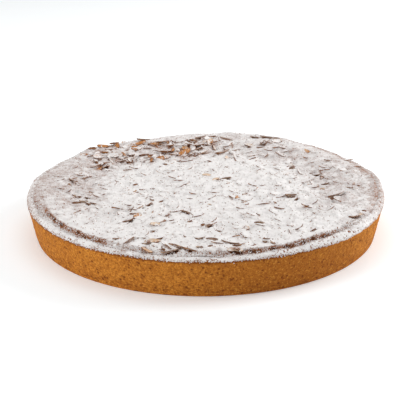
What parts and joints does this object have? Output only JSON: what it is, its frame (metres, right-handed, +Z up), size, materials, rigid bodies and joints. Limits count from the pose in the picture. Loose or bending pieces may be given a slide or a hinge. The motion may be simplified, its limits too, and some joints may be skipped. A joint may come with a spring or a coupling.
{
  "type": "almond tart",
  "caption": "Whole round almond tart: a shortcrust shell filled to the rim with a baked almond filling, strewn with flaked almonds and dusted with icing sugar.",
  "frame": {"origin": "centre of the tart's flat underside", "axes": "+Z up out of the tart; -Y is the side shown to the viewer, where the lip is lowest"},
  "size_m": [0.28, 0.28, 0.0395],
  "materials": {
    "pastry_shell": "dry baked shortcrust pastry, golden brown, with icing sugar on its lip",
    "almond_filling": "baked almond filling and flaked almonds under a thick dusting of icing sugar"
  },
  "bodies": {
    "root": {"pastry_shell": "pastry_shell", "almond_filling": "almond_filling"}
  },
  "joints": []
}
